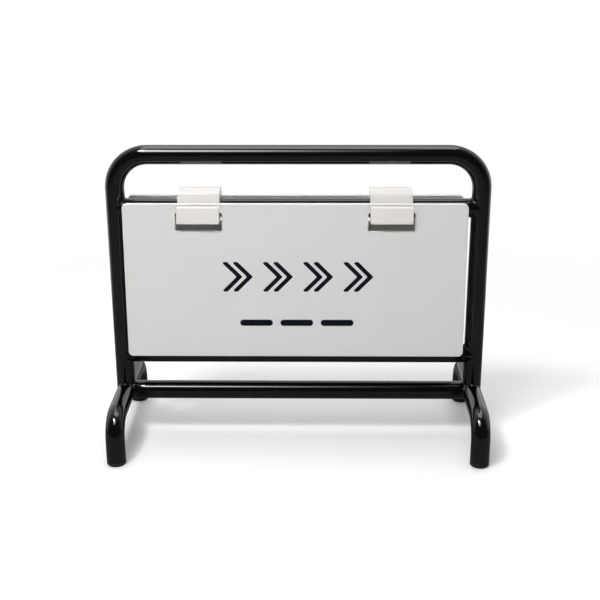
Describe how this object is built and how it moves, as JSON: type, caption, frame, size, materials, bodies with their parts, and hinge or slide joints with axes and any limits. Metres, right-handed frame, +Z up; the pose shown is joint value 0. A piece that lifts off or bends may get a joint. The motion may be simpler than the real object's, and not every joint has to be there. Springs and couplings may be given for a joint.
{
  "type": "tabletop barricade sign",
  "caption": "Small barricade sign: a bent tube frame on plugged feet, with a flat board hooked to each side of its upper bar by plastic clips.",
  "frame": {"origin": "on the surface it stands on, under the middle of the frame", "axes": "+X along the bars, to the right as seen from the front; +Y from the front board to the rear board; +Z up"},
  "size_m": [0.2, 0.092, 0.1605],
  "materials": {
    "frame_black": "gloss black paint",
    "plug_black": "satin black",
    "clip_white": "warm white, satin",
    "board_white": "off-white, satin"
  },
  "bodies": {
    "frame": {"hoop": "frame_black", "left_runner": "frame_black", "right_runner": "frame_black", "lower_crossbar": "frame_black", "middle_bar": "frame_black", "upper_bar": "frame_black", "foot_plug_front_left": "plug_black", "foot_plug_front_right": "plug_black", "foot_plug_rear_left": "plug_black", "foot_plug_rear_right": "plug_black"},
    "clip_left": {"clip_left": "clip_white"},
    "clip_right": {"clip_right": "clip_white"},
    "front_board": {"front_board": "board_white"},
    "rear_board": {"rear_board": "board_white"}
  },
  "joints": [
    {"name": "clip_left_roll", "type": "hinge", "parent": "frame", "child": "clip_left", "pos_m": [-0.051, 0, 0.1275], "axis": [1, 0, 0], "range_deg": [-3, 3]},
    {"name": "clip_right_roll", "type": "hinge", "parent": "frame", "child": "clip_right", "pos_m": [0.0482, 0, 0.1275], "axis": [1, 0, 0], "range_deg": [-3, 3]},
    {"name": "front_board_swing", "type": "hinge", "parent": "clip_left", "child": "front_board", "pos_m": [-0.0014, -0.0112, 0.12735], "axis": [-1, 0, 0], "range_deg": [-2.5, 7]},
    {"name": "rear_board_swing", "type": "hinge", "parent": "clip_left", "child": "rear_board", "pos_m": [-0.0014, 0.0112, 0.12735], "axis": [1, 0, 0], "range_deg": [-2.5, 7]}
  ],
  "couplings": [
    {"joint": "clip_right_roll", "follows": "clip_left_roll", "ratio": 1}
  ]
}
